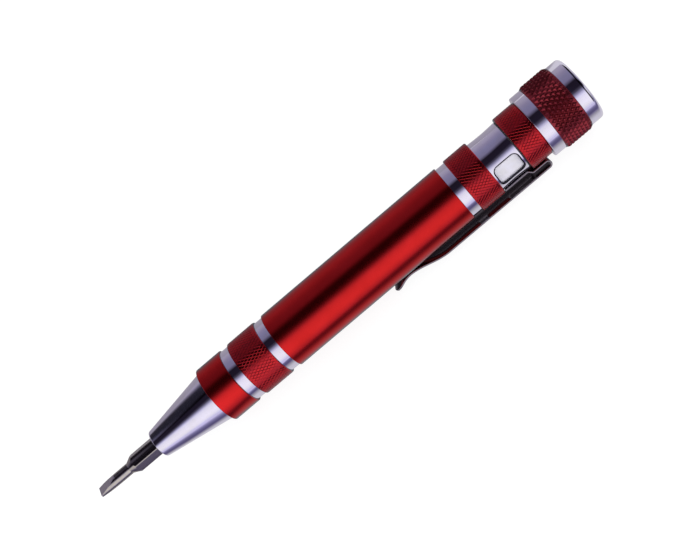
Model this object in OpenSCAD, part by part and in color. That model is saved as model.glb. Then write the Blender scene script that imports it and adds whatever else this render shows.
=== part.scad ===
// Pocket screwdriver with bits stored in the barrel, in millimetres.
// +X runs from the blade's tip to the head along the tool axis, +Z is up, and the pen lies on its side.

/* [Bit] */
// Width across the flats of the hex bits
bit_flats = 4.0; // [3.6:0.05:4.05]
// Whole length of a bit
bit_len = 28.0; // [25:0.5:32]
// Length of the working bit that stands out of the nose
bit_reach = 16.75; // [15:0.25:18]
// Length of the round shank and the blade, in front of the hex
shank_len = 8.5; // [7:0.25:10]
// Length of the shoulder between the round shank and the hex
shoulder_len = 2.1; // [1.5:0.1:3]
// Radius of the round shank
shank_r = 1.32; // [1.1:0.02:1.6]
// Width of the working blade at its tip
blade_w = 2.4; // [2:0.1:2.6]
// Thickness of the working blade at its tip
blade_t = 0.55; // [0.4:0.05:0.8]
// Length of the ground faces of the blade
grind_len = 4.8; // [3.5:0.1:6]
// Bevel at the ends of the hex
hex_bevel = 0.3; // [0.1:0.05:0.5]

/* [Stored bits] */
// Width of the narrow spare blade
spare_narrow_w = 1.8; // [1.4:0.1:2]
// Width of the wide spare blade
spare_wide_w = 2.6; // [2.2:0.1:2.6]
// Radius of the small cross bit's point
cross_small_r = 0.7; // [0.5:0.05:0.9]
// Radius of the large cross bit's point
cross_large_r = 1.0; // [0.8:0.05:1.2]
// Radius of the small cross between its notches, at the point
cross_small_core = 0.28; // [0.2:0.02:0.35]
// Radius of the large cross between its notches, at the point
cross_large_core = 0.4; // [0.3:0.02:0.5]
// Length of the hex key's and the star's prism
key_len = 4.0; // [3:0.25:5]
// Radius of the hex key over its corners
key_hex_r = 1.0; // [0.8:0.05:1.25]
// Radius of the star over its points
key_star_r = 1.15; // [0.95:0.05:1.25]
// Radius of the star between its points
key_star_inner_r = 0.85; // [0.7:0.05:0.9]

/* [Nose] */
// Length of the bare cone
nose_len = 16.85; // [14:0.25:20]
// Radius of the cone's front face
nose_tip_r = 3.35; // [3.2:0.05:3.8]
// Radius of the cone where it meets the barrel
nose_base_r = 6.1; // [5.9:0.05:6.3]
// Rounding of the cone's front edge
nose_round = 0.35; // [0.2:0.05:0.5]
// Length of the plug that holds the cone in the tube
nose_plug_len = 9.8; // [7:0.2:11]
// Outer radius of the hex socket
socket_r = 2.95; // [2.8:0.05:3.1]
// Length of the hex socket
socket_len = 16.4; // [14:0.2:18]
// Depth of the socket behind the cone's front face
socket_set = 2.85; // [2.5:0.05:3.2]
// Radius of the magnet
magnet_r = 2.0; // [1.6:0.05:2.1]
// Length of the magnet
magnet_len = 3.0; // [2:0.2:4]

/* [Barrel] */
// Outer radius of the red sleeves
sleeve_r = 6.88; // [6.8:0.02:7.3]
// Wall of the red sleeves
sleeve_wall = 0.36; // [0.3:0.02:0.4]
// Rounding of the sleeves' outer edges
sleeve_round = 0.26; // [0.1:0.02:0.28]
// Length of the plain ring behind the nose
front_sleeve_len = 6.5; // [5:0.25:9]
// Width of each bare band between the sleeves
band_len = 2.3; // [1.5:0.1:3]
// Length of the front knurled ring
front_knurl_len = 7.4; // [6:0.2:9]
// Length of the rear knurled ring
rear_knurl_len = 6.2; // [6:0.2:8]
// Wall of the tube under the sleeves
tube_wall = 0.8; // [0.6:0.05:0.85]
// Length of the inner lip on the first and last sleeve
lip_len = 0.6; // [0.4:0.1:0.9]
// Length of the magazine's solid front end, before the stored bits
magazine_front = 3.8; // [2:0.1:12]
// Least wall between the magazine's channels
channel_wall = 0.6; // [0.4:0.05:0.7]

/* [Neck] */
// Length of the bare neck
neck_len = 7.3; // [7:0.1:9]
// How much smaller the neck's end radius is than the tube's
neck_step = 0.3; // [0.2:0.02:0.34]
// How much the neck draws in at its middle
neck_waist = 0.13; // [0.05:0.01:0.15]
// Wall of the neck at its ends
neck_wall = 0.6; // [0.5:0.02:0.7]
// Length of the neck's plug in the tube
neck_plug_len = 5.2; // [4.5:0.1:6]
// Wall of the neck's plug
neck_plug_wall = 0.48; // [0.4:0.02:0.5]
// Length of the window along the neck
window_len = 6.1; // [4:0.1:6.3]
// Width of the window round the neck
window_w = 4.7; // [3.5:0.1:5.2]
// Radius of the window's corners
window_corner_r = 1.05; // [0.5:0.05:1.5]
// Thickness of the friction washer behind the neck
washer_t = 0.3; // [0.2:0.05:0.4]
// Thickness of the drum's snap ring
snap_t = 0.4; // [0.3:0.05:0.6]
// Distance of the snap ring from the drum's front end
snap_set = 1.6; // [1.2:0.1:2.2]

/* [Head] */
// Step from the drum up to the spindle that carries the head
spindle_step = 0.4; // [0.3:0.02:0.5]
// Depth of the drum's six flats
drum_flat_depth = 0.3; // [0.15:0.05:0.4]
// Length of the red collar
collar_len = 5.55; // [5:0.1:8]
// Radius over the collar's knurl
collar_r = 6.86; // [6.7:0.02:6.9]
// Width of the head's front band
head_band_len = 2.8; // [2:0.1:4]
// Radius of the head's band and end
head_r = 7.85; // [7.6:0.05:8.4]
// Length of the head's knurled ring
grip_len = 7.3; // [6:0.1:9]
// Radius over the head's knurl
grip_r = 8.3; // [8.2:0.05:9]
// Wall of the head's knurled ring
grip_wall = 0.98; // [0.8:0.02:1.1]
// Length of the head's bare end
end_len = 3.4; // [3:0.1:5]
// Length of the head's plug in its end cap
head_plug_len = 1.6; // [1:0.1:2.2]
// Rounding of the head's end
end_round = 0.9; // [0.4:0.05:1.2]
// Turn of the head, with 0 shut and each 60 degrees a step
head_angle = 0; // [0:60:300]

/* [Knurl] */
// Diamonds round the head's ring
grip_around = 44; // [36:1:50]
// Diamonds along the head's ring
grip_rows = 5; // [3:1:6]
// Depth of the head's knurl
grip_depth = 0.42; // [0.2:0.02:0.5]
// Diamonds round the barrel's rings and the collar
ring_around = 46; // [36:1:50]
// Diamonds along the barrel's rings
ring_rows = 5; // [3:1:6]
// Depth of the barrel's knurl
ring_depth = 0.2; // [0.1:0.02:0.24]
// Diamonds along the collar
collar_rows = 4; // [3:1:6]
// Depth of the collar's knurl
collar_depth = 0.12; // [0.08:0.02:0.2]
// Bevel at the ends of a knurled ring
knurl_bevel = 0.14; // [0.08:0.02:0.2]

/* [Clip] */
// Width of the clip's strip
clip_w = 5.0; // [4:0.1:5.4]
// Width of the strip where it touches the barrel
clip_tip_w = 4.2; // [3.4:0.1:4.8]
// Thickness of the strip
clip_t = 0.45; // [0.35:0.05:0.5]
// Height of the hairpin fold over its outside
fold_h = 2.07; // [1.8:0.05:2.4]
// Length of the arm from the fold's centre to its free end
clip_len = 42.7; // [38:0.5:43]
// Length of the free end past the touching crest
clip_flare_len = 4.7; // [3:0.1:6]
// Length of the inward bend, up to where the arm touches the barrel
clip_bend_len = 9.6; // [7:0.2:11]
// Rise of the free end over the touching crest
clip_flare = 1.7; // [1:0.1:2.2]
// Gap between the crest and the barrel
clip_gap = 0.08; // [0.05:0.01:0.15]
// Distance from the fold's centre back to the neck's rear face
fold_set = 3.5; // [3:0.1:4.5]
// Length of the step from the foot up to the leaf over the collar
joggle_len = 1.3; // [1:0.1:2]
// Angle of the clip round the axis, from the top
clip_angle = 136; // [130:1:140]
// Radius of the rivet's shank
rivet_r = 0.6; // [0.4:0.05:0.8]
// Height of the rivet's head
rivet_head_h = 0.35; // [0.2:0.05:0.5]

/* [Hidden] */
$fn = 180;

// Clearances and the overrun of every cut
glue_gap = 0.02;
slide_gap = 0.03;
hex_gap = 0.075;
turn_gap = 0.1;
wide_gap = 0.15;
shut_gap = 0.2;
over = 1;

// Stations along the axis from the blade's tip to the long sleeve
x_nose = bit_reach;
x_barrel = x_nose + nose_len;
x_band1 = x_barrel + front_sleeve_len;
x_front_knurl = x_band1 + band_len;
x_band2 = x_front_knurl + front_knurl_len;
x_sleeve = x_band2 + band_len;

// The stored bits lie in tiers behind the nose's plug, and the barrel is as long as they need
channel_count = 3;
tier_count = 2;
x_magazine = x_barrel + lip_len + nose_plug_len;
x_channels = x_magazine + magazine_front;
x_magazine_end = x_channels + tier_count * (bit_len + shut_gap) + shut_gap;
x_drum = x_magazine_end + shut_gap;
x_snap = x_drum + snap_set;

// Stations from the long sleeve's end to the head's end
x_neck = x_drum + neck_plug_len - turn_gap;
x_rear_knurl = x_neck - rear_knurl_len;
x_band3 = x_rear_knurl - band_len;
x_neck_end = x_neck + neck_len;
x_collar = x_neck_end + washer_t + slide_gap + glue_gap;
x_head = x_collar + collar_len;
x_grip = x_head + head_band_len;
x_end = x_grip + grip_len;
x_spindle_end = x_end + head_plug_len;
x_back = x_end + end_len;

// Radii of the tube, the neck and what turns in it
tube_r = sleeve_r - sleeve_wall - glue_gap;
tube_bore_r = tube_r - tube_wall;
neck_r = tube_r - neck_step;
neck_bore_r = neck_r - neck_wall;
neck_plug_r = neck_bore_r + neck_plug_wall;
drum_r = neck_bore_r - turn_gap;
spindle_r = drum_r + spindle_step;
snap_inner_r = drum_r - turn_gap - slide_gap;
snap_outer_r = neck_bore_r + turn_gap;
snap_open = 40;
grip_seat_r = grip_r - grip_wall - glue_gap;
head_plug_r = (grip_seat_r + spindle_r) / 2;

// The hex bits and the three channels that hold them
hex_corner_r = bit_flats / sqrt(3);
socket_flats = bit_flats + 2 * slide_gap;
channel_flats = bit_flats + 2 * hex_gap;
channel_ring_r = (channel_flats + channel_wall) / (2 * sin(180 / channel_count));
exit_r = hex_corner_r + turn_gap;
star_points = 6;

// Angles round the axis, from the top towards the clip's side
hex_step = 60;
window_angle = 57;
exit_angle = window_angle + 90;
channel_angle = exit_angle + 180 / channel_count;
bit_angle = 32.5;
blade_angle = bit_angle - hex_step;

// The clip's heights over the axis
seat_flat = neck_r - neck_waist / 2 - turn_gap;
foot_h = seat_flat;
leaf_h = collar_r + wide_gap;
arm_h = leaf_h + fold_h - clip_t;
crest_h = sleeve_r + clip_gap;
x_fold = x_neck_end + fold_set;
seam_share = 0.25;
x_seam = x_fold - seam_share * fold_h;
x_foot = x_neck + shut_gap;
foot_len = neck_len - joggle_len;
x_rivet = x_foot + foot_len / 2;

// Steps of each kind of round stretch
edge_steps = 4;
bend_steps = 10;

// Draws a child that stands along Z so that it lies along X
module along_axis() {
    rotate([0, 90, 0]) children();
}

// Turns a child that points along local X to an angle round the axis
module facing(angle) {
    rotate([0, 0, angle + 180]) children();
}

// Points of an arc round a centre
function arc(cx, cy, r, from, to, steps) = [
    for (k = [0:steps])
        let (a = from + (to - from) * k / steps)
        [cx + r * cos(a), cy + r * sin(a)]
];

// Section of a tube whose outer edges are rounded
function tube_section(bore, outer, start, end, edge) = concat(
    [[bore, start]],
    arc(outer - edge, start + edge, edge, -90, 0, edge_steps),
    arc(outer - edge, end - edge, edge, 0, 90, edge_steps),
    [[bore, end]]
);

// A solid of revolution about the tool axis, from [radius, station] points
module turned(points) {
    along_axis() rotate_extrude() polygon(points);
}

// A hex prism with its corners at the given angle
module hex_prism(flats, start, len) {
    translate([0, 0, start]) cylinder(h = len, r = flats / sqrt(3), $fn = 6);
}

// Point of a knurl lattice on a circle
function ring_point(r, turn, z) = [r * cos(360 * turn), r * sin(360 * turn), z];

// A solid ring blank with raised diamonds all round, standing on z = 0
module knurled_blank(outer, depth, len, around, rows) {
    low = outer - depth;
    half_rows = 2 * rows;
    step = (len - 2 * knurl_bevel) / half_rows;
    crossings = [
        for (j = [0:half_rows]) for (i = [0:around - 1])
            ring_point(low, (i + (j % 2) / 2) / around, knurl_bevel + j * step)
    ];
    peaks = [
        for (j = [1:half_rows - 1]) for (i = [0:around - 1])
            ring_point(outer, (i + (1 - j % 2) / 2) / around, knurl_bevel + j * step)
    ];
    foot = [for (i = [0:around - 1]) ring_point(low - knurl_bevel, i / around, 0)];
    top = [for (i = [0:around - 1]) ring_point(low - knurl_bevel, i / around, len)];
    first_peak = (half_rows + 1) * around;
    first_foot = first_peak + (half_rows - 1) * around;
    first_top = first_foot + around;
    function crossing(j, i) = j * around + (i + around) % around;
    function peak(j, i) = first_peak + (j - 1) * around + i;
    function next(i) = (i + 1) % around;
    diamonds = [
        for (j = [1:half_rows - 1]) for (i = [0:around - 1])
            let (
                left = crossing(j, i - j % 2),
                right = crossing(j, i + 1 - j % 2),
                below = crossing(j - 1, i),
                above = crossing(j + 1, i),
                tip = peak(j, i)
            )
            for (f = [[left, above, tip], [above, right, tip], [right, below, tip], [below, left, tip]]) f
    ];
    edges = [
        for (i = [0:around - 1])
            for (f = [
                [crossing(0, i), crossing(1, i), crossing(0, i + 1)],
                [crossing(half_rows, i), crossing(half_rows, i + 1), crossing(half_rows - 1, i)],
                [first_foot + i, crossing(0, i), crossing(0, i + 1), first_foot + next(i)],
                [crossing(half_rows, i), first_top + i, first_top + next(i), crossing(half_rows, i + 1)]
            ]) f
    ];
    ends = [
        [for (i = [0:around - 1]) first_foot + i],
        [for (i = [around - 1:-1:0]) first_top + i]
    ];
    polyhedron(points = concat(crossings, peaks, foot, top), faces = concat(diamonds, edges, ends));
}

// A knurled ring with a bore, and a smaller bore through its last stretch
module knurled_ring(outer, depth, start, len, around, rows, bore, lip_bore, lip) {
    along_axis() translate([0, 0, start]) difference() {
        knurled_blank(outer, depth, len, around, rows);
        translate([0, 0, -over]) cylinder(h = len + over - lip, r = bore);
        translate([0, 0, -over]) cylinder(h = len + 2 * over, r = lip_bore);
    }
}

// The plain end of a hex bit, with a round shank and bevelled corners
module bit_blank(tip_r) {
    intersection() {
        hex_prism(bit_flats, 0, bit_len);
        rotate_extrude() polygon([
            [0, 0],
            [tip_r, 0],
            [shank_r, grind_len],
            [shank_r, shank_len],
            [hex_corner_r, shank_len + shoulder_len],
            [hex_corner_r, bit_len - hex_bevel],
            [hex_corner_r - hex_bevel, bit_len],
            [0, bit_len]
        ]);
    }
}

// A bit ground on two sides to a flat blade
module slot_bit(width, thickness) {
    difference() {
        bit_blank(width / 2);
        for (side = [0, 180]) rotate([0, 0, side]) rotate([90, 0, 0])
            linear_extrude(height = 4 * shank_r, center = true) polygon([
                [thickness / 2, -over],
                [thickness / 2, 0],
                [shank_r, grind_len],
                [2 * shank_r, grind_len],
                [2 * shank_r, -over]
            ]);
    }
}

// A bit with a pointed cross: a cone with four notches between its wings that run out on the shank
module cross_bit(point_r, core_r) {
    run_out = (grind_len + shank_len) / 2;
    tilt = atan((shank_r - core_r) / run_out);
    difference() {
        bit_blank(point_r);
        for (turn = [45:90:315]) rotate([0, 0, turn]) translate([core_r, 0, 0])
            rotate([0, tilt, 0]) rotate([0, 0, -45])
                translate([0, 0, -over]) cube([2 * shank_r, 2 * shank_r, shank_len + over]);
    }
}

// A bit that ends in a small prism, from an outline
module key_bit(key_r, key_len) {
    union() {
        difference() {
            bit_blank(shank_r);
            translate([0, 0, -over]) cylinder(h = over + key_len, r = 2 * shank_r);
        }
        linear_extrude(height = key_len) children();
    }
}

// Lays a bit in one of the stored places: channel round the axis, tier along it
module stored(channel, tier) {
    along_axis() facing(channel_angle + channel * 360 / channel_count)
        translate([channel_ring_r, 0, x_channels + tier * (bit_len + shut_gap)]) children();
}

module working_bit() {
    color("#3a3d40") along_axis() facing(blade_angle) slot_bit(blade_w, blade_t);
}

module nose_cone() {
    plug_r = tube_bore_r - glue_gap;
    mouth_r = hex_corner_r + turn_gap;
    plug_end = x_barrel + lip_len + nose_plug_len;
    color("#c9c8d2") turned(concat(
        [[mouth_r, x_nose]],
        arc(nose_tip_r - nose_round, x_nose + nose_round, nose_round, -90, 0, edge_steps),
        [
            [nose_base_r, x_barrel],
            [nose_base_r, x_barrel + lip_len],
            [plug_r, x_barrel + lip_len],
            [plug_r, plug_end],
            [socket_r + glue_gap, plug_end],
            [socket_r + glue_gap, x_nose + socket_set],
            [mouth_r, x_nose + socket_set]
        ]
    ));
}

module bit_socket() {
    start = x_nose + socket_set;
    hex_end = bit_len + turn_gap;
    color("#8b8d92") along_axis() difference() {
        translate([0, 0, start]) cylinder(h = socket_len, r = socket_r);
        facing(bit_angle) hex_prism(socket_flats, start - over, hex_end - start + over);
        translate([0, 0, hex_end - over]) cylinder(h = socket_len + over, r = magnet_r + glue_gap);
    }
}

module nose_magnet() {
    color("#b9bcc4") along_axis() translate([0, 0, bit_len + wide_gap])
        cylinder(h = magnet_len, r = magnet_r);
}

module front_sleeve() {
    bore = tube_r + glue_gap;
    lip_bore = nose_base_r + glue_gap;
    color("#b3161b") turned(concat(
        [[lip_bore, x_barrel]],
        arc(sleeve_r - sleeve_round, x_barrel + sleeve_round, sleeve_round, -90, 0, edge_steps),
        arc(sleeve_r - sleeve_round, x_band1 - sleeve_round, sleeve_round, 0, 90, edge_steps),
        [[bore, x_band1], [bore, x_barrel + lip_len], [lip_bore, x_barrel + lip_len]]
    ));
}

module core_tube() {
    start = x_barrel + lip_len;
    end = x_neck - lip_len;
    pocket_r = neck_plug_r + glue_gap;
    pocket = end - neck_plug_len;
    color("#c9c8d2") turned([
        [tube_bore_r, start],
        [tube_r, start],
        [tube_r, end],
        [pocket_r, end],
        [pocket_r, pocket],
        [tube_bore_r, pocket]
    ]);
}

module front_knurl_ring() {
    bore = tube_r + glue_gap;
    color("#a41419") knurled_ring(sleeve_r, ring_depth, x_front_knurl, front_knurl_len,
        ring_around, ring_rows, bore, bore, lip_len);
}

module barrel_sleeve() {
    color("#b3161b") turned(tube_section(tube_r + glue_gap, sleeve_r, x_sleeve, x_band3, sleeve_round));
}

module rear_knurl_ring() {
    color("#a41419") knurled_ring(sleeve_r, ring_depth, x_rear_knurl, rear_knurl_len,
        ring_around, ring_rows, tube_r + glue_gap, neck_r + glue_gap, lip_len);
}

// Rounded rectangle in the plane, long side along X
module rounded_plate(len, width, corner) {
    square([len - 2 * corner, width], center = true);
    square([len, width - 2 * corner], center = true);
    for (sx = [-1, 1]) for (sy = [-1, 1])
        translate([sx * (len / 2 - corner), sy * (width / 2 - corner)]) circle(r = corner);
}

module neck_sleeve() {
    shoulder = x_neck - lip_len;
    waist = [
        for (k = [0:bend_steps])
            let (share = k / bend_steps)
            [neck_r - neck_waist * sin(180 * share), x_neck + share * neck_len]
    ];
    outline = concat(
        [
            [neck_bore_r, shoulder - neck_plug_len],
            [neck_plug_r, shoulder - neck_plug_len],
            [neck_plug_r, shoulder],
            [neck_r, shoulder]
        ],
        waist,
        [[neck_bore_r, x_neck_end]]
    );
    groove_r = neck_bore_r + turn_gap + glue_gap;
    color("#c9c8d2") along_axis() difference() {
        rotate_extrude() polygon(outline);
        translate([0, 0, x_snap - snap_t / 2 - slide_gap])
            cylinder(h = snap_t + 2 * slide_gap, r = groove_r);
        facing(window_angle) translate([0, 0, (x_neck + x_neck_end) / 2]) rotate([0, 90, 0])
            linear_extrude(height = sleeve_r) rounded_plate(window_len, window_w, window_corner_r);
        facing(clip_angle) {
            translate([seat_flat, -clip_w, x_foot - turn_gap])
                cube([over, 2 * clip_w, neck_len]);
            translate([0, 0, x_rivet]) rotate([0, 90, 0]) cylinder(h = sleeve_r, r = rivet_r + glue_gap);
        }
    }
}

// The snap ring sits in a groove of the drum and one of the neck
module drum_snap_ring() {
    color("#8b8d92") along_axis() translate([0, 0, x_snap - snap_t / 2]) facing(clip_angle)
        rotate_extrude(angle = 360 - snap_open)
            translate([snap_inner_r, 0]) square([snap_outer_r - snap_inner_r, snap_t]);
}

module neck_washer() {
    color("#26262a") turned([
        [drum_r + turn_gap, x_neck_end],
        [neck_r - turn_gap, x_neck_end],
        [neck_r - turn_gap, x_neck_end + washer_t],
        [drum_r + turn_gap, x_neck_end + washer_t]
    ]);
}

module bit_magazine() {
    body_r = neck_bore_r - slide_gap;
    color("#2b2b2e") along_axis() difference() {
        translate([0, 0, x_magazine]) cylinder(h = x_magazine_end - x_magazine, r = body_r);
        for (channel = [0:channel_count - 1])
            facing(channel_angle + channel * 360 / channel_count)
                translate([channel_ring_r, 0, 0])
                    hex_prism(channel_flats, x_channels - turn_gap, x_magazine_end);
    }
}

module spare_bit_slot_narrow() {
    color("#8f9298") stored(0, 0) slot_bit(spare_narrow_w, blade_t);
}

module spare_bit_slot_wide() {
    color("#8f9298") stored(0, 1) slot_bit(spare_wide_w, blade_t);
}

module spare_bit_cross_small() {
    color("#8f9298") stored(1, 0) cross_bit(cross_small_r, cross_small_core);
}

module spare_bit_cross_large() {
    color("#8f9298") stored(1, 1) cross_bit(cross_large_r, cross_large_core);
}

module spare_bit_hex() {
    color("#8f9298") stored(2, 0) key_bit(key_hex_r, key_len) circle(r = key_hex_r, $fn = 6);
}

module spare_bit_star() {
    points = [
        for (k = [0:2 * star_points - 1])
            let (
                r = k % 2 == 0 ? key_star_r : key_star_inner_r,
                turn = 180 * k / star_points
            )
            [r * cos(turn), r * sin(turn)]
    ];
    color("#8f9298") stored(2, 1) key_bit(key_star_r, key_len) polygon(points);
}

// The drum turns in the neck and carries the head; its one bore lets a bit out of the channel it faces
module selector_drum() {
    flat_h = drum_r - drum_flat_depth;
    flats_start = x_neck + shut_gap;
    flats_end = x_neck_end - shut_gap;
    color("#d5d4de") along_axis() rotate([0, 0, head_angle]) difference() {
        union() {
            translate([0, 0, x_drum]) cylinder(h = x_spindle_end - x_drum, r = drum_r);
            translate([0, 0, x_collar]) cylinder(h = x_spindle_end - x_collar, r = spindle_r);
        }
        difference() {
            translate([0, 0, flats_start]) cylinder(h = flats_end - flats_start, r = drum_r + over);
            facing(window_angle + hex_step / 2)
                hex_prism(2 * flat_h, flats_start - over, neck_len + 2 * over);
        }
        facing(exit_angle) translate([channel_ring_r, 0, x_drum - over])
            cylinder(h = x_spindle_end - x_drum + 2 * over, r = exit_r);
        translate([0, 0, x_snap - snap_t / 2 - slide_gap]) difference() {
            cylinder(h = snap_t + 2 * slide_gap, r = drum_r + over);
            cylinder(h = snap_t + 2 * slide_gap, r = snap_inner_r - slide_gap);
        }
    }
}

module head_collar() {
    color("#a41419") knurled_ring(collar_r, collar_depth, x_collar, collar_len,
        ring_around, collar_rows, spindle_r + glue_gap, spindle_r + glue_gap, lip_len);
}

module head_body() {
    bore = spindle_r + glue_gap;
    color("#c9c8d2") turned(concat(
        [[bore, x_head]],
        arc(head_r - sleeve_round, x_head + sleeve_round, sleeve_round, -90, 0, edge_steps),
        [
            [head_r, x_grip],
            [grip_seat_r, x_grip],
            [grip_seat_r, x_end],
            [head_plug_r, x_end],
            [head_plug_r, x_spindle_end],
            [bore, x_spindle_end]
        ]
    ));
}

module head_grip_ring() {
    bore = grip_seat_r + glue_gap;
    color("#a41419") knurled_ring(grip_r, grip_depth, x_grip, grip_len,
        grip_around, grip_rows, bore, bore, lip_len);
}

module head_end_cap() {
    pocket_end = x_spindle_end + glue_gap;
    color("#c9c8d2") difference() {
        turned(concat(
            [
                [0, pocket_end],
                [head_plug_r + glue_gap, pocket_end],
                [head_plug_r + glue_gap, x_end],
                [head_r, x_end]
            ],
            arc(head_r - end_round, x_back - end_round, end_round, 0, 90, 2 * edge_steps),
            [[0, x_back]]
        ));
        along_axis() rotate([0, 0, head_angle]) facing(exit_angle)
            translate([channel_ring_r, 0, x_end - over]) cylinder(h = end_len + 2 * over, r = exit_r);
    }
}

// A bent strip: its section from [station, height] points of its middle line, drawn out to its width
function strip_side(line, offset) = [
    for (k = [0:len(line) - 1])
        let (
            before = line[max(k - 1, 0)],
            after = line[min(k + 1, len(line) - 1)],
            run = after - before,
            size = norm(run)
        )
        line[k] + offset * [-run[1], run[0]] / size
];

function reversed(list) = [for (k = [len(list) - 1:-1:0]) list[k]];

module strip(line, width) {
    outline = concat(strip_side(line, clip_t / 2), reversed(strip_side(line, -clip_t / 2)));
    rotate([0, 90, 0]) facing(clip_angle) rotate([90, 0, 0])
        linear_extrude(height = width, center = true) polygon([for (p = outline) [p[1], p[0]]]);
}

module clip_foot() {
    low = foot_h + clip_t / 2;
    high = leaf_h + clip_t / 2;
    joggle = [
        for (k = [0:bend_steps])
            let (share = k / bend_steps)
            [x_foot + foot_len + share * joggle_len, low + (high - low) * (1 - cos(180 * share)) / 2]
    ];
    color("#b8b4b8") difference() {
        strip(concat([[x_foot, low]], joggle, [[x_seam, high]]), clip_w);
        along_axis() facing(clip_angle) translate([0, 0, x_rivet]) rotate([0, 90, 0])
            cylinder(h = head_r, r = rivet_r + glue_gap);
    }
}

module clip_rivet() {
    head_base = foot_h + clip_t;
    color("#a8a8ae") along_axis() facing(clip_angle) translate([0, 0, x_rivet]) rotate([0, 90, 0])
        rotate_extrude() polygon([
            [0, neck_bore_r + glue_gap],
            [rivet_r, neck_bore_r + glue_gap],
            [rivet_r, head_base],
            [2 * rivet_r, head_base],
            [2 * rivet_r - rivet_head_h / 2, head_base + rivet_head_h],
            [0, head_base + rivet_head_h]
        ]);
}

module clip_arm() {
    middle = arm_h + clip_t / 2;
    crest = crest_h + clip_t / 2;
    fold_r = (fold_h - clip_t) / 2;
    x_tip = x_fold - clip_len;
    x_crest = x_tip + clip_flare_len;
    x_straight = x_crest + clip_bend_len;
    fold = arc(x_fold, leaf_h + clip_t / 2 + fold_r, fold_r, -90, 90, bend_steps);
    bend = [
        for (k = [0:bend_steps])
            let (share = k / bend_steps)
            [x_straight - share * clip_bend_len, middle + (crest - middle) * (1 - cos(180 * share)) / 2]
    ];
    flare = [
        for (k = [1:bend_steps])
            let (share = k / bend_steps)
            [x_crest - share * clip_flare_len, crest + clip_flare * (1 - cos(90 * share))]
    ];
    plan = concat(
        [[x_fold + fold_h, clip_w / 2], [x_straight, clip_w / 2], [x_crest, clip_tip_w / 2]],
        arc(x_tip + clip_tip_w / 2, 0, clip_tip_w / 2, 90, 270, 2 * bend_steps),
        [[x_crest, -clip_tip_w / 2], [x_straight, -clip_w / 2], [x_fold + fold_h, -clip_w / 2]]
    );
    color("#b8b4b8") intersection() {
        strip(concat([[x_seam, leaf_h + clip_t / 2]], fold, bend, flare), clip_w);
        rotate([0, 90, 0]) facing(clip_angle) rotate([0, 90, 0])
            linear_extrude(height = 2 * grip_r) polygon([for (p = plan) [-p[0], p[1]]]);
    }
}

working_bit();
nose_cone();
bit_socket();
nose_magnet();
front_sleeve();
core_tube();
front_knurl_ring();
barrel_sleeve();
rear_knurl_ring();
neck_sleeve();
bit_magazine();
spare_bit_slot_narrow();
spare_bit_slot_wide();
spare_bit_cross_small();
spare_bit_cross_large();
spare_bit_hex();
spare_bit_star();
clip_foot();
clip_rivet();
clip_arm();
drum_snap_ring();
neck_washer();
selector_drum();
head_collar();
head_body();
head_grip_ring();
head_end_cap();
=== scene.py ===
"""Pocket screwdriver with stored bits: turned, knurled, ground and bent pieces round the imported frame."""

import functools
import math

import bmesh
import bpy
from bpy.props import FloatProperty, FloatVectorProperty, IntProperty, PointerProperty
from mathutils import Matrix, Vector


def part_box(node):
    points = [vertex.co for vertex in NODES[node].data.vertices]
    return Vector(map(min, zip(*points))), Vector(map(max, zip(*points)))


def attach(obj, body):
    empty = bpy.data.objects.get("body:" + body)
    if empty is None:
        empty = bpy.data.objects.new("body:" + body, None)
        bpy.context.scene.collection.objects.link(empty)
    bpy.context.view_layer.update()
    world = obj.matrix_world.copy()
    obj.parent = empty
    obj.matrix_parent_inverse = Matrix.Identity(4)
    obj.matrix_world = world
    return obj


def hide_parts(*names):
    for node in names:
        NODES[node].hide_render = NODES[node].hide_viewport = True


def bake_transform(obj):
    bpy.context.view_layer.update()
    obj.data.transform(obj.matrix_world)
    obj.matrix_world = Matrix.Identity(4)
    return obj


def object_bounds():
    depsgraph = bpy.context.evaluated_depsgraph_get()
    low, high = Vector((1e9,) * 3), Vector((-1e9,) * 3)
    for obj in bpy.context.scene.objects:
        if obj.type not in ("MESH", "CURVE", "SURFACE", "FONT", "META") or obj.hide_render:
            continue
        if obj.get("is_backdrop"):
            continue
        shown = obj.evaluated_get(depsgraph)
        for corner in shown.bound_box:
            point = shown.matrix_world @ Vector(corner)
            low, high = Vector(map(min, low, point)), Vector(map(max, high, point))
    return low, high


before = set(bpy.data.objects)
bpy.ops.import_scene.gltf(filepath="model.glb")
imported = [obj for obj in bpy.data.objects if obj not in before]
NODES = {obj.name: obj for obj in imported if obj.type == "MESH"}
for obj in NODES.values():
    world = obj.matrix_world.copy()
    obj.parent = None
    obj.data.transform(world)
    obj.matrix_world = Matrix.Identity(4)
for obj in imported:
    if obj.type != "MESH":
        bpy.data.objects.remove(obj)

bl_info = {
    "name": "Pocket Screwdriver",
    "version": (1, 0, 0),
    "blender": (4, 5, 0),
    "location": "3D View > Sidebar > Screwdriver",
    "description": "Builds the visible pieces, the finishes and the stage of a pocket screwdriver",
    "category": "Object",
}

MM = 0.001
ALONG = Vector((1, 0, 0))

# Steps of the round stretches
TURN_STEPS = 256
FINE_TURN_STEPS = 96
EDGE_STEPS = 6
BEND_STEPS = 24

# Faces that meet at more than this stay sharp, and points nearer than this are one
SHARP = math.radians(28)
SAME_PLACE = 0.0005 * MM
# How far a cutter reaches past what it cuts
OVERRUN = 1 * MM
# Most of a noise lies between these
NOISE_RANGE = (0.3, 0.7)

# The photograph's frame in pixels, and the pixel at which the camera stands square over the pen's axis
PHOTO_W = 700
PHOTO_H = 560
PHOTO_FOOT = (458.3, 190.3)
# Focal length in pixels, and slope of the pen in the picture
PHOTO_FOCAL = 1250
PEN_SLOPE = math.radians(40.25)
# How much of the way from the frame's middle to that pixel the lens shift takes up
SHIFT_SHARE = 0.57


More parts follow.
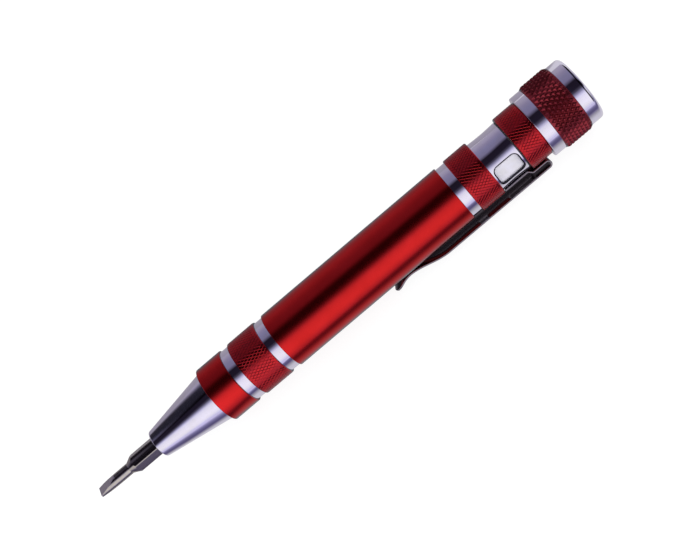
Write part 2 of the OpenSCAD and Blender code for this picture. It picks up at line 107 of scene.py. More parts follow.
def linear(hex_colour):
    """Turns an sRGB hex colour into the linear colour that sockets and properties hold."""
    parts = [int(hex_colour[i : i + 2], 16) / 255 for i in (1, 3, 5)]
    return tuple(p / 12.92 if p <= 0.04045 else ((p + 0.055) / 1.055) ** 2.4 for p in parts)


WHITE = (*linear("#FFFFFF"), 1.0)


def size(name, description, default):
    """A length that a user may change, in metres, with its default given in millimetres."""
    return FloatProperty(name=name, description=description, default=default * MM, unit="LENGTH", min=0.0)


def angle(name, description, default):
    """An angle that a user may change, with its default given in degrees."""
    return FloatProperty(name=name, description=description, default=math.radians(default), subtype="ANGLE")


def colour(name, description, default):
    """A colour that a user may change, with its default given in sRGB hex."""
    return FloatVectorProperty(
        name=name, description=description, default=linear(default), subtype="COLOR", min=0.0, max=1.0
    )


def number(name, description, default, least=1):
    """A count that a user may change."""
    return IntProperty(name=name, description=description, default=default, min=least)


def ratio(name, description, default):
    """A share or a strength that a user may change."""
    return FloatProperty(name=name, description=description, default=default, min=0.0)


class BitSizes(bpy.types.PropertyGroup):
    """Sizes of the hex bits"""

    flats: size("Across flats", "Width of the hex across its flats", 4.0)
    shank_r: size("Shank radius", "Radius of the round shank", 1.32)
    shank_len: size("Shank length", "Length of the shank and the blade", 8.5)
    shoulder_len: size("Shoulder", "Length of the cone between shank and hex", 2.1)
    blade_w: size("Blade width", "Width of the blade at its tip", 2.4)
    blade_t: size("Blade thickness", "Thickness of the blade at its tip", 0.55)
    grind_len: size("Grind length", "Length of the ground faces", 4.8)
    end_bevel: size("End bevel", "Bevel at the rear end of the hex", 0.3)
    hex_angle: angle("Hex angle", "Turn of the hex's corners round the axis", 32.5)
    blade_angle: angle("Blade angle", "Turn of the blade's broad face round the axis", -27.5)
    edge: size("Edge", "Bevel of the machined edges", 0.06)
    corner: size("Corner", "Rounding of the hex's long edges", 0.32)
    shoulder_round: size("Shoulder rounding", "Rounding where the shank meets the shoulder", 0.25)


class BarrelSizes(bpy.types.PropertyGroup):
    """Sizes of the turned barrel that the frame's boxes don't give"""

    nose_tip_r: size("Nose tip radius", "Radius of the cone's front face", 3.35)
    nose_round: size("Nose rounding", "Rounding of the cone's front edge", 0.35)
    mouth_round: size("Mouth rounding", "Rounding of the mouth's front edge", 0.12)
    cone_round: size("Cone rounding", "Rounding where the cone meets the front sleeve", 0.05)
    mouth_r: size("Mouth radius", "Radius of the hole that the bit stands in", 2.41)
    socket_set: size("Socket depth", "Depth of the socket behind the cone's front face", 2.85)
    socket_r: size("Socket radius", "Radius of the bore round the socket", 2.97)
    plug_r: size("Plug radius", "Radius of the cone's plug in the tube", 5.68)
    sleeve_wall: size("Sleeve wall", "Wall of the red sleeves", 0.36)
    sleeve_round: size("Sleeve rounding", "Rounding of the sleeves' outer edges", 0.16)
    tube_wall: size("Tube wall", "Wall of the tube under the sleeves", 0.8)
    lip_len: size("Lip", "Length of the inner lip of the end sleeves", 0.6)
    glue_gap: size("Glue gap", "Gap between pieces that are pressed or glued together", 0.02)


class NeckSizes(bpy.types.PropertyGroup):
    """Sizes of the neck and its window"""

    waist: size("Waist", "How much the neck draws in at its middle", 0.13)
    wall: size("Wall", "Wall of the neck at its ends", 0.6)
    plug_r: size("Plug radius", "Radius of the neck's plug in the tube", 6.08)
    window_angle: angle("Window angle", "Turn of the window round the axis", 57)
    window_len: size("Window length", "Length of the window along the neck", 6.1)
    window_w: size("Window width", "Width of the window round the neck", 4.7)
    window_corner: size("Window corner", "Radius of the window's corners", 1.05)
    rim_w: size("Rim width", "Width of the milled step round the window", 0.3)
    rim_depth: size("Rim depth", "Depth of that step under the neck's waist", 0.1)
    edge: size("Edge", "Bevel of the neck's cut edges", 0.06)


class KnurlSizes(bpy.types.PropertyGroup):
    """Counts and depths of the knurled rings"""

    grip_around: number("Grip around", "Diamonds round the head's ring", 44, least=8)
    grip_rows: number("Grip rows", "Diamonds along the head's ring", 4)
    grip_depth: size("Grip depth", "Depth of the head's knurl", 0.34)
    ring_around: number("Ring around", "Diamonds round the barrel's rings", 60, least=8)
    ring_rows: number("Ring rows", "Diamonds along the barrel's rings", 5)
    ring_depth: size("Ring depth", "Depth of the barrel's knurl", 0.032)
    collar_rows: number("Collar rows", "Diamonds along the collar", 4)
    collar_depth: size("Collar depth", "Depth of the collar's knurl", 0.032)
    bevel: size("End bevel", "Bevel at the ends of a knurled ring", 0.14)
    grip_top: ratio("Grip top", "Flat top of a diamond of the grip, as a share", 0.28)
    ring_top: ratio("Ring top", "Flat top of a diamond of a ring, as a share", 0.78)
    seed: number("Seed", "Seed of the small differences in depth", 7)


class HeadSizes(bpy.types.PropertyGroup):
    """Sizes of the head that the frame's boxes don't give"""

    bore_r: size("Bore radius", "Radius of the bore on the spindle", 5.92)
    plug_r: size("Plug radius", "Radius of the head's plug in the end cap", 6.6)
    seat_r: size("Seat radius", "Radius of the seat under the knurled ring", 7.3)
    band_round: size("Band rounding", "Rounding of the front band's edge", 0.2)
    end_round: size("End rounding", "Rounding of the head's end", 0.9)
    exit_r: size("Exit radius", "Radius of the hole that lets a bit out", 2.41)
    exit_ring_r: size("Exit ring radius", "Distance of that hole from the axis", 2.743)
    exit_angle: angle("Exit angle", "Turn of that hole round the axis", 147)


class ClipSizes(bpy.types.PropertyGroup):
    """Sizes of the bent strip"""

    angle: angle("Angle", "Turn of the clip round the axis", 136)
    width: size("Width", "Width of the strip", 5.0)
    tip_w: size("Tip width", "Width of the strip where it touches the barrel", 4.2)
    thickness: size("Thickness", "Thickness of the strip", 0.45)
    edge: size("Edge", "Rounding of the strip's edges", 0.17)
    foot_h: size("Foot height", "Height of the foot's underside over the axis", 6.035)
    leaf_h: size("Leaf height", "Height of the leaf over the collar", 7.01)
    foot_len: size("Foot length", "Length of the flat foot", 6.0)
    joggle_len: size("Joggle", "Length of the step from the foot to the leaf", 1.3)
    fold_h: size("Fold height", "Height of the hairpin fold", 2.07)
    seat_set: size("Seat start", "Distance of the foot's flat behind the knurled ring", 0.1)
    crest_h: size("Crest height", "Height of the arm's underside at the crest", 6.96)
    straight: size("Straight", "Straight length of the arm", 28.4)
    bend_len: size("Bend length", "Length of the inward bend", 9.6)
    flare: size("Flare", "Rise of the free end over the crest", 1.7)
    rivet_r: size("Rivet radius", "Radius of the rivet's shank", 0.6)
    rivet_head_h: size("Rivet head", "Height of the rivet's head", 0.35)


class Finishes(bpy.types.PropertyGroup):
    """Colours of the materials"""

    red: colour("Red", "Dye of the anodised aluminium", "#DE2B2B")
    red_deep: colour("Deep red", "Denser dye of the anodised aluminium", "#D32726")
    red_edge: colour("Red's edge", "Tint of the red skin where the light grazes it", "#A4FFFF")
    knurl: colour("Knurl red", "Dye on the fine knurl", "#CE2D31")
    grip: colour("Grip red", "Dye in the deep knurl of the head", "#9A353E")
    bright: colour("Bright aluminium", "Polished aluminium", "#ECEAF0")
    satin: colour("Satin aluminium", "Matt aluminium of the drum", "#F3F1FF")
    tool: colour("Tool steel", "Polished tool steel", "#B5AFA2")
    ground: colour("Ground steel", "Freshly ground tool steel", "#EFEAE6")
    chrome: colour("Chrome", "Dark chromium plating", "#8F868A")
    steel: colour("Steel", "Plain turned steel", "#8F9197")
    nickel: colour("Nickel", "Nickel plating", "#C4BFB4")
    plastic: colour("Black plastic", "Moulded acetal", "#232326")
    # Painted shade: a near black that stands in for the shade in the window's cut wall and the step round it
    cut_shade: colour("Cut shade", "Painted shade in the window's cut", "#2B2736")


class Studio(bpy.types.PropertyGroup):
    """Places and levels of the stage"""

    view_angle: angle("View angle", "Turn of the camera round the pen's axis, from the top", 19)
    distance: size("Distance", "Distance of the camera from the pen's axis", 269)
    station: size("Station", "Place along the pen that the camera stands over", 102.2)
    floor_w: size("Floor width", "Width and length of the floor", 4000)
    paper: colour("Paper", "Matt colour of the floor, on which the shadow falls", "#7C7C7C")
    floor_level: ratio("Floor level", "Light of the floor by itself", 0.86)
    fill_level: ratio("Fill level", "Even light on matt surfaces", 1.25)
    lamp_level: ratio("Lamp level", "Strength of the strips in metal", 1.19)


def sizes(group):
    """One group of the scene's properties."""
    return getattr(bpy.context.scene.pocket_screwdriver, group)


def around(turn, radius=1.0, station=0.0):
    """Point at an angle round the tool axis, counted from the top towards the clip's side."""
    return Vector((station, -radius * math.sin(turn), radius * math.cos(turn)))


def beside(turn):
    """Sideways direction at an angle round the tool axis."""
    return ALONG.cross(around(turn))


def axes(x, y, z):
    """Matrix that turns the local axes to three directions."""
    return Matrix((x, y, z)).transposed().to_4x4()


def facing(turn):
    """Matrix that turns local X to an angle round the tool axis, and local Z along that axis."""
    return axes(around(turn), beside(turn), ALONG)


def span(node):
    """Start, end and outer radius of a turned node of the frame."""
    low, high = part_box(node)
    return low.x, high.x, (high.z - low.z) / 2


def rounded(corners):
    """Loop of (station, radius) points from (station, radius, rounding) corners.

    A short straight run on both sides of each rounding keeps its shading off the long faces.
    """
    run_in = 0.02 * MM
    points = []
    for i, (x, r, rounding) in enumerate(corners):
        here = Vector((x, r))
        if rounding <= 0:
            points.append(here)
            continue
        back = (Vector(corners[i - 1][:2]) - here).normalized()
        ahead = (Vector(corners[(i + 1) % len(corners)][:2]) - here).normalized()
        half = back.angle(ahead) / 2
        reach = rounding / math.tan(half)
        centre = here + (back + ahead).normalized() * rounding / math.sin(half)
        first = here + back * reach - centre
        last = here + ahead * reach - centre
        whole = first.angle(last)
        points.append(here + back * (reach + run_in))
        for k in range(EDGE_STEPS + 1):
            share = k / EDGE_STEPS
            mix = first * math.sin((1 - share) * whole) + last * math.sin(share * whole)
            points.append(centre + mix / math.sin(whole))
        points.append(here + ahead * (reach + run_in))
    return points


def smooth(bm, sharp):
    """Smooth faces, with edges sharp where the faces meet at more than an angle."""
    for face in bm.faces:
        face.smooth = True
    for edge in bm.edges:
        edge.smooth = len(edge.link_faces) == 2 and edge.calc_face_angle(0.0) < sharp


def new_object(name, bm):
    """Object of a mesh as it is, in the scene."""
    mesh = bpy.data.meshes.new(name)
    bm.to_mesh(mesh)
    bm.free()
    piece = bpy.data.objects.new(name, mesh)
    bpy.context.scene.collection.objects.link(piece)
    return piece


def new_piece(name, bm, sharp=SHARP):
    """Object of a closed mesh, with its faces outwards and smooth between the sharp edges."""
    bmesh.ops.recalc_face_normals(bm, faces=bm.faces)
    smooth(bm, sharp)
    return new_object(name, bm)


def turned_mesh(profile, steps=TURN_STEPS):
    """Closed solid of revolution round the tool axis, from a loop of (station, radius) points."""
    bm = bmesh.new()
    rings = []
    for x, r in profile:
        turns = [2 * math.pi * k / steps for k in range(steps)] if r > 0 else [0.0]
        rings.append([bm.verts.new(around(turn, r, x)) for turn in turns])
    for i, ring in enumerate(rings):
        before = rings[i - 1]
        if len(ring) == len(before) == 1:
            continue
        for k in range(steps):
            corners = [before[k % len(before)], before[(k + 1) % steps % len(before)]]
            corners += [ring[(k + 1) % steps % len(ring)], ring[k % len(ring)]]
            bm.faces.new(list(dict.fromkeys(corners)))
    return bm


def turned(name, corners, steps=TURN_STEPS):
    """Turned piece from (station, radius, rounding) corners."""
    return new_piece(name, turned_mesh(rounded(corners), steps))


def turned_tube(name, node, wall, rounding=0.0):
    """Turned tube in a node's place, with its outer edges rounded."""
    start, end, radius = span(node)
    bore = radius - wall
    return turned(name, [(start, bore, 0), (start, radius, rounding), (end, radius, rounding), (end, bore, 0)])


def prism_mesh(outline, start, end, place):
    """Straight prism of an outline in the plane, moved to its place by a matrix."""
    bm = bmesh.new()
    low = [bm.verts.new(place @ Vector((x, y, start))) for x, y in outline]
    high = [bm.verts.new(place @ Vector((x, y, end))) for x, y in outline]
    bm.faces.new(low)
    bm.faces.new(high)
    for k in range(len(outline)):
        bm.faces.new((low[k - 1], low[k], high[k], high[k - 1]))
    return bm


def rounded_plate(length, width, corner):
    """Outline of a rectangle with round corners, long side along the first axis."""
    outline = []
    for quarter, (sx, sy) in enumerate(((1, 1), (-1, 1), (-1, -1), (1, -1))):
        cx, cy = sx * (length / 2 - corner), sy * (width / 2 - corner)
        for k in range(EDGE_STEPS + 1):
            turn = (quarter + k / EDGE_STEPS) * math.pi / 2
            outline.append((cx + corner * math.cos(turn), cy + corner * math.sin(turn)))
    return outline


def settle_modifiers(piece):
    """Replaces a piece's mesh by what its modifiers make of it, and removes them."""
    depsgraph = bpy.context.evaluated_depsgraph_get()
    mesh = bpy.data.meshes.new_from_object(piece.evaluated_get(depsgraph), depsgraph=depsgraph)
    piece.modifiers.clear()
    piece.data = mesh


def combine(piece, tool, operation="DIFFERENCE"):
    """Cuts a piece with a tool, or keeps what both share, and removes the tool."""
    modifier = piece.modifiers.new(operation.lower(), "BOOLEAN")
    modifier.operation = operation
    modifier.solver = "EXACT"
    modifier.object = tool
    settle_modifiers(piece)
    bpy.data.objects.remove(tool)


def clean_cuts(piece):
    """Merges the doubles that cuts leave, and smooths a piece between its sharp edges."""
    bm = bmesh.new()
    bm.from_mesh(piece.data)
    bmesh.ops.remove_doubles(bm, verts=bm.verts, dist=SAME_PLACE)
    smooth(bm, SHARP)
    bm.to_mesh(piece.data)
    bm.free()


def ease_edges(piece, width):
    """Bevels a cut piece's sharp edges, and keeps its faces' shading off the bevels."""
    modifier = piece.modifiers.new("edges", "BEVEL")
    modifier.width = width
    modifier.segments = 2
    modifier.limit_method = "ANGLE"
    modifier.angle_limit = math.radians(30)
    modifier.harden_normals = True
    settle_modifiers(piece)


def add(tree, kind, inputs=(), **settings):
    """Adds a node with its settings, and fills its inputs, in order or by name, with values or other nodes."""
    node = tree.nodes.new(kind)
    for name, value in settings.items():
        setattr(node, name, value)
    for socket, value in inputs.items() if isinstance(inputs, dict) else enumerate(inputs):
        if isinstance(value, bpy.types.Node):
            value = value.outputs[0]
        if isinstance(value, bpy.types.NodeSocket):
            tree.links.new(value, node.inputs[socket])
        else:
            node.inputs[socket].default_value = value
    return node


def material_tree(name):
    """New material and its empty node tree."""
    material = bpy.data.materials.new(name)
    material.use_nodes = True
    material.node_tree.nodes.clear()
    return material, material.node_tree


def cloud(tree, grain):
    """Soft unevenness with a real grain size."""
    place = add(tree, "ShaderNodeTexCoord").outputs["Object"]
    return add(tree, "ShaderNodeTexNoise", {"Vector": place, "Scale": 1 / grain, "Detail": 3.0, "Roughness": 0.55})


def streaks(tree, pitch, length, detail, roughness):
    """Noise with one real size along the tool axis, and another across it."""
    place = add(tree, "ShaderNodeTexCoord").outputs["Object"]
    mapped = add(tree, "ShaderNodeMapping", {"Vector": place, "Scale": (1 / pitch, 1 / length, 1 / length)})
    inputs = {"Vector": mapped, "Scale": 1.0, "Detail": detail, "Roughness": roughness}
    return add(tree, "ShaderNodeTexNoise", inputs)


def ring_marks(tree, pitch):
    """Turning marks: fine rings round the tool axis at a real pitch, which wander a little."""
    wander = 0.0075
    return streaks(tree, pitch, pitch / wander, 3.0, 0.6)


def grinding_lines(tree, pitch):
    """Marks of a grinding wheel: lines across the blade at a real pitch, 1.5 mm long."""
    return streaks(tree, pitch, 1.5 * MM, 4.0, 0.5)


def surface(name, tones, pattern, gloss, relief=None, metallic=1.0, edge=None):
    """Material of two tones, with its gloss and a relief of a real depth.

    The pattern says how the second tone lies in the first: a noise, its real size and how much of the tone it
    brings. The gloss is one roughness, or the size of its clouds with the lowest and the highest. The relief is
    a noise, its real size and its depth. The edge is the tint of grazing light.
    """
    material, tree = material_tree(name)
    noise, grain, share = pattern
    mix = add(tree, "ShaderNodeMapRange", (noise(tree, grain), *NOISE_RANGE, 0.0, share))
    first, second = [(*tone, 1.0) for tone in tones]
    tone = add(tree, "ShaderNodeMix", {0: mix, 6: first, 7: second}, data_type="RGBA").outputs[2]
    if isinstance(gloss, tuple):
        grain, low, high = gloss
        gloss = add(tree, "ShaderNodeMapRange", (cloud(tree, grain), *NOISE_RANGE, low, high))
    inputs = {"Base Color": tone, "Metallic": metallic, "Roughness": gloss}
    if relief:
        noise, grain, depth = relief
        height = noise(tree, grain)
        inputs["Normal"] = add(tree, "ShaderNodeBump", {"Height": height, "Distance": depth, "Strength": 1.0})
    if edge:
        inputs["Specular Tint"] = (*edge, 1.0)
    shader = add(tree, "ShaderNodeBsdfPrincipled", inputs)
    add(tree, "ShaderNodeOutputMaterial", (shader,))
    return material


def red_anodised_aluminium(finish):
    """Turned aluminium in a red dyed oxide skin: a deep red metal with a satin spread."""
    # Turning marks of a fine finishing cut, 0.06 mm apart, drawn at 0.12 mm so that they show
    marks = (ring_marks, 0.12 * MM, 0.0006 * MM)
    tones = (finish.red, finish.red_deep)
    gloss = (1.5 * MM, 0.21, 0.25)
    return surface("red anodised aluminium", tones, (cloud, 6 * MM, 1.0), gloss, marks, edge=finish.red_edge)


def knurled_red(name, finish, tone, gloss, metallic):
    """The same red skin over a rolled knurl, with a roughness that varies in clouds."""
    pattern = (cloud, 1.2 * MM, 0.3)
    relief = (cloud, 0.12 * MM, 0.003 * MM)
    return surface(name, (tone, finish.grip), pattern, (0.5 * MM, *gloss), relief, metallic, finish.red_edge)


def knurled_red_aluminium(finish):
    """Red anodised aluminium with the fine knurl of the barrel's rings and the collar."""
    return knurled_red("knurled red anodised aluminium", finish, finish.knurl, (0.19, 0.24), 1.0)


def deep_knurled_red_aluminium(finish):
    """Red anodised aluminium with the deep knurl of the head, in a darker dye."""
    return knurled_red("deeply knurled red anodised aluminium", finish, finish.grip, (0.28, 0.36), 0.92)


def polished_aluminium(finish):
    """Turned and polished aluminium: near mirror, with faint rings from the lathe."""
    # Polishing leaves rings about 0.05 mm apart, drawn at 0.1 mm so that they show
    marks = (ring_marks, 0.1 * MM, 0.0005 * MM)
    tones = (finish.bright, finish.satin)
    return surface("polished aluminium", tones, (cloud, 3 * MM, 1.0), (1.0 * MM, 0.05, 0.08), marks)


def satin_aluminium(finish):
    """Bead-blasted and clear anodised aluminium: light and matt, as on the drum's flats behind the window."""
    dimples = (cloud, 0.08 * MM, 0.002 * MM)
    tones = (finish.satin, finish.bright)
    return surface("satin aluminium", tones, (cloud, 2 * MM, 1.0), (0.8 * MM, 0.4, 0.5), dimples, metallic=0.15)


def shade_painted_cut_aluminium(finish):
    """Milled cut of the window, painted near black and half dull: painted shade that stands in for the shade in
    the cut.
    """
    tones = (finish.cut_shade, finish.plastic)
    return surface("cut aluminium in painted shade", tones, (cloud, 0.3 * MM, 0.3), 0.45, metallic=0.6)


def polished_tool_steel(finish):
    """Hardened and polished tool steel of the working bit: a dark mirror with a faint grain."""
    grain = (cloud, 0.3 * MM, 0.001 * MM)
    tones = (finish.tool, finish.steel)
    return surface("polished tool steel", tones, (cloud, 0.7 * MM, 0.4), (0.4 * MM, 0.12, 0.18), grain)


def ground_steel(finish):
    """Tool steel as the grinding wheel leaves it: grey, with fine lines across the blade."""
    # Grinding lines 0.03 mm apart, drawn at 0.08 mm so that they show
    pitch = 0.08 * MM
    tones = (finish.ground, finish.steel)
    return surface(
        "ground tool steel", tones, (grinding_lines, pitch, 0.35), 0.36, (grinding_lines, pitch, 0.002 * MM)
    )


def chromed_spring_steel(finish):
    """Rolled spring steel with a thin dark chrome: mirror bright, with a slight roll along the strip."""
    roll = (cloud, 0.9 * MM, 0.004 * MM)
    tones = (finish.chrome, finish.steel)
    return surface("chromed spring steel", tones, (cloud, 2 * MM, 0.4), (0.6 * MM, 0.12, 0.18), roll)


def turned_steel(finish):
    """Plain turned steel of the socket, the snap ring and the stored bits: bright grey with lathe rings."""
    # Turning marks about 0.08 mm apart, drawn at 0.15 mm so that they show
    marks = (ring_marks, 0.15 * MM, 0.001 * MM)
    tones = (finish.steel, finish.ground)
    return surface("turned steel", tones, (cloud, 1 * MM, 0.6), (0.6 * MM, 0.24, 0.34), marks)


def nickel_plated_magnet(finish):
    """Pressed and sintered magnet under bright nickel, with a faint pitting."""
    pits = (cloud, 0.2 * MM, 0.003 * MM)
    return surface("nickel plated magnet", (finish.nickel, finish.steel), (cloud, 0.8 * MM, 0.5), 0.2, pits)


def black_acetal(finish):
    """Moulded acetal of the magazine and the washer: dark and slightly waxy, with a fine moulded grain."""
    grain = (cloud, 0.1 * MM, 0.003 * MM)
    tones = (finish.plastic, finish.steel)
    return surface("black acetal", tones, (cloud, 1.5 * MM, 0.12), (0.5 * MM, 0.38, 0.5), grain, metallic=0.0)


@functools.cache
def made(finish):
    """The material of a finish, made once."""
    return finish(sizes("finishes"))


def place_piece(piece, finish, body, slot, *nodes):
    """Gives a finished piece its material and body, and puts it in the place of the frame's nodes. The slot is not
    used.
    """
    piece.data.materials.clear()
    piece.data.materials.append(made(finish))
    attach(piece, body)
    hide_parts(*nodes)


class SCREWDRIVER_OT_working_bit(bpy.types.Operator):
    """Builds the working bit: a hex with a coned shoulder and a round shank, ground to a flat blade"""

    bl_idname = "screwdriver.working_bit"
    bl_label = "Working Bit"

    def execute(self, context):
        bit = sizes("bit")
        start, end, _ = span("working_bit")
        piece = self.blank(bit, start, end)
        self.grind_blade(piece, bit, start)
        clean_cuts(piece)
        ease_edges(piece, bit.edge)
        place_piece(piece, polished_tool_steel, "bit", "tool_steel", "working_bit")
        piece.data.materials.append(made(ground_steel))
        broad = around(bit.blade_angle)
        ground_lean = math.cos(math.radians(20))
        for face in piece.data.polygons:
            if face.center.x < start + bit.grind_len and abs(face.normal.dot(broad)) > ground_lean:
                face.material_index = 1
        return {"FINISHED"}

    def blank(self, bit, start, end):
        """Hex bar with round long edges, turned down to the shoulder and the shank."""
        corner_r = bit.flats / math.sqrt(3)
        turned_r = corner_r + bit.edge
        corners = [
            (start, 0, 0),
            (start, bit.blade_w / 2, 0),
            (start + bit.grind_len, bit.shank_r, 0),
            (start + bit.shank_len, bit.shank_r, bit.shoulder_round),
            (start + bit.shank_len + bit.shoulder_len, turned_r, 0),
            (end - bit.end_bevel, turned_r, 0),
            (end, corner_r - bit.end_bevel, 0),
            (end, 0, 0),
        ]
        piece = turned("hex_bit", corners, FINE_TURN_STEPS)
        hub_r = corner_r - bit.corner / math.cos(math.pi / 6)
        hexagon = []
        for k in range(6 * (EDGE_STEPS + 1)):
            corner, step = divmod(k, EDGE_STEPS + 1)
            turn, swing = corner * math.pi / 3, (step / EDGE_STEPS - 0.5) * math.pi / 3
            x = hub_r * math.cos(turn) + bit.corner * math.cos(turn + swing)
            y = hub_r * math.sin(turn) + bit.corner * math.sin(turn + swing)
            hexagon.append((x, y))
        bar = prism_mesh(hexagon, start - OVERRUN, end + OVERRUN, facing(bit.hex_angle))
        combine(piece, new_piece("hex bar", bar), "INTERSECT")
        return piece

    def grind_blade(self, piece, bit, start):
        """Cuts the two flat faces of the blade."""
        ground_end, wheel_r = start + bit.grind_len, 2 * bit.shank_r
        wedge = [
            (start - OVERRUN, bit.blade_t / 2),
            (start, bit.blade_t / 2),
            (ground_end, bit.shank_r),
            (ground_end, wheel_r),
            (start - OVERRUN, wheel_r),
        ]
        for turn in (bit.blade_angle, bit.blade_angle + math.pi):
            wheel = prism_mesh(wedge, -wheel_r, wheel_r, axes(ALONG, around(turn), beside(turn)))
            combine(piece, new_piece("grinding wheel", wheel))


class SCREWDRIVER_OT_barrel(bpy.types.Operator):
    """Builds the nose cone, the tube and the plain sleeves"""

    bl_idname = "screwdriver.barrel"
    bl_label = "Nose, Tube and Sleeves"

    def execute(self, context):
        barrel = sizes("barrel")
        self.nose(barrel)
        tube = turned_tube("polished_tube", "core_tube", barrel.tube_wall)
        place_piece(tube, polished_aluminium, "barrel", "bright_aluminium", "core_tube")
        for node, name in (("front_sleeve", "red_front_sleeve"), ("barrel_sleeve", "red_barrel_sleeve")):
            sleeve = turned_tube(name, node, barrel.sleeve_wall, barrel.sleeve_round)
            place_piece(sleeve, red_anodised_aluminium, "barrel", "red_aluminium", node)
        return {"FINISHED"}

    def nose(self, barrel):
        """The cone, its mouth and the plug that holds it in the tube."""
        start, end, radius = span("nose_cone")
        x_barrel = span("front_sleeve")[0]
        lip = x_barrel + barrel.lip_len
        inner = start + barrel.socket_set
        corners = [
            (start, barrel.mouth_r, barrel.mouth_round),
            (start, barrel.nose_tip_r, barrel.nose_round),
            (x_barrel, radius, barrel.cone_round),
            (lip, radius, 0),
            (lip, barrel.plug_r, 0),
            (end, barrel.plug_r, 0),
            (end, barrel.socket_r, 0),
            (inner, barrel.socket_r, 0),
            (inner, barrel.mouth_r, 0),
        ]
        cone = turned("turned_nose", corners)
        place_piece(cone, polished_aluminium, "barrel", "bright_aluminium", "nose_cone")


def knurl_tree():
    """Geometry Nodes tree that sets worn diamonds on a plain ring, in staggered rows."""
    tree = bpy.data.node_groups.new("Diamond Knurl", "GeometryNodeTree")
    ports = {
        "Geometry": ("Geometry",),
        "Int": ("Around", "Rows", "Seed"),
        "Float": ("Low Radius", "Depth", "Start", "Length", "Flat Share"),
        "Material": ("Material",),
    }
    for kind, names in ports.items():
        for name in names:
            tree.interface.new_socket(name, in_out="INPUT", socket_type="NodeSocket" + kind)
    tree.interface.new_socket("Geometry", in_out="OUTPUT", socket_type="NodeSocketGeometry")
    given = add(tree, "NodeGroupInput").outputs
    count, low_r, depth = given["Around"], given["Low Radius"], given["Depth"]

    # Layers of diamonds stand half a row apart, so there are two to each row, less one
    rows_twice = add(tree, "ShaderNodeMath", (given["Rows"], 2.0), operation="MULTIPLY")
    layers = add(tree, "ShaderNodeMath", (rows_twice, 1.0), operation="SUBTRACT")
    step = add(tree, "ShaderNodeMath", (given["Length"], rows_twice), operation="DIVIDE")
    diamonds = add(tree, "ShaderNodeMath", (count, layers), operation="MULTIPLY")
    index = layer = add(tree, "GeometryNodeInputIndex")
    for operation, value in (("DIVIDE", count), ("FLOOR", 0.0), ("ADD", 1.0)):
        layer = add(tree, "ShaderNodeMath", (layer, value), operation=operation)
    travel = add(tree, "ShaderNodeMath", (layer, step), operation="MULTIPLY")
    station = add(tree, "ShaderNodeMath", (given["Start"], travel), operation="ADD")

    # Angle of each diamond round the ring: every second layer stands half a diamond further on
    stagger, turn, whole = layer, index, 2 * math.pi
    for operation, value in (("ADD", 1.0), ("MODULO", 2.0), ("MULTIPLY", 0.5)):
        stagger = add(tree, "ShaderNodeMath", (stagger, value), operation=operation)
    steps = (("MODULO", count), ("ADD", stagger), ("DIVIDE", count), ("ADD", 0.5), ("MULTIPLY", whole))
    for operation, value in steps:
        turn = add(tree, "ShaderNodeMath", (turn, value), operation=operation)

    # Each diamond is a four-sided cone, sunk in the ring by a tenth of its depth, and uneven in height by as much
    sink = add(tree, "ShaderNodeMath", (depth, 0.1), operation="MULTIPLY")
    base = add(tree, "ShaderNodeMath", (low_r, sink), operation="SUBTRACT")
    back = add(tree, "ShaderNodeMath", (base, -1.0), operation="MULTIPLY")
    sine = add(tree, "ShaderNodeMath", (turn,), operation="SINE")
    cosine = add(tree, "ShaderNodeMath", (turn,), operation="COSINE")
    y = add(tree, "ShaderNodeMath", (sine, back), operation="MULTIPLY")
    z = add(tree, "ShaderNodeMath", (cosine, base), operation="MULTIPLY")
    spot = add(tree, "ShaderNodeCombineXYZ", (station, y, z))
    line = add(tree, "GeometryNodeMeshLine", {"Count": diamonds})
    points = add(tree, "GeometryNodeSetPosition", {"Geometry": line, "Position": spot})
    cone = {"Vertices": 4, "Radius Top": given["Flat Share"], "Radius Bottom": 1.0, "Depth": 1.0}
    uneven = {2: 0.9, 3: 1.0, "Seed": given["Seed"]}
    uneven = add(tree, "FunctionNodeRandomValue", uneven, data_type="FLOAT").outputs[1]
    half_round = add(tree, "ShaderNodeMath", (low_r, math.pi), operation="MULTIPLY")
    half_width = add(tree, "ShaderNodeMath", (half_round, count), operation="DIVIDE")
    height = add(tree, "ShaderNodeMath", (depth, sink), operation="ADD")
    height = add(tree, "ShaderNodeMath", (height, uneven), operation="MULTIPLY")
    setting = {
        "Points": points,
        "Instance": add(tree, "GeometryNodeMeshCone", cone),
        "Rotation": add(tree, "ShaderNodeCombineXYZ", (turn,)),
        "Scale": add(tree, "ShaderNodeCombineXYZ", (step, half_width, height)),
    }
    set_out = add(tree, "GeometryNodeInstanceOnPoints", setting)
    joined = add(tree, "GeometryNodeJoinGeometry", (given["Geometry"],))
    tree.links.new(set_out.outputs[0], joined.inputs[0])
    solid = add(tree, "GeometryNodeRealizeInstances", (joined,))
    named = add(tree, "GeometryNodeSetMaterial", {"Geometry": solid, "Material": given["Material"]})
    add(tree, "NodeGroupOutput", (named,))
    return tree


def knurled_ring(name, node, finish, bore, pattern):
    """A ring of the frame with its diamonds: a plain bevelled ring, and the knurl set on it by the tree."""
    knurl = sizes("knurl")
    start, end, outer = span(node)
    low = outer - pattern["Depth"]
    corners = [
        (start, bore, 0),
        (start, low - knurl.bevel, 0),
        (start + knurl.bevel, low, 0),
        (end - knurl.bevel, low, 0),
        (end, low - knurl.bevel, 0),
        (end, bore, 0),
    ]
    piece = turned(name, corners)
    tree = bpy.data.node_groups.get("Diamond Knurl") or knurl_tree()
    modifier = piece.modifiers.new("knurl", "NODES")
    modifier.node_group = tree
    values = {
        **pattern,
        "Low Radius": low,
        "Start": start + knurl.bevel,
        "Length": end - start - 2 * knurl.bevel,
        "Seed": knurl.seed,
        "Material": made(finish),
    }
    for socket in tree.interface.items_tree:
        if socket.in_out == "INPUT" and socket.name in values:
            modifier[socket.identifier] = values[socket.name]
    settle_modifiers(piece)
    return piece


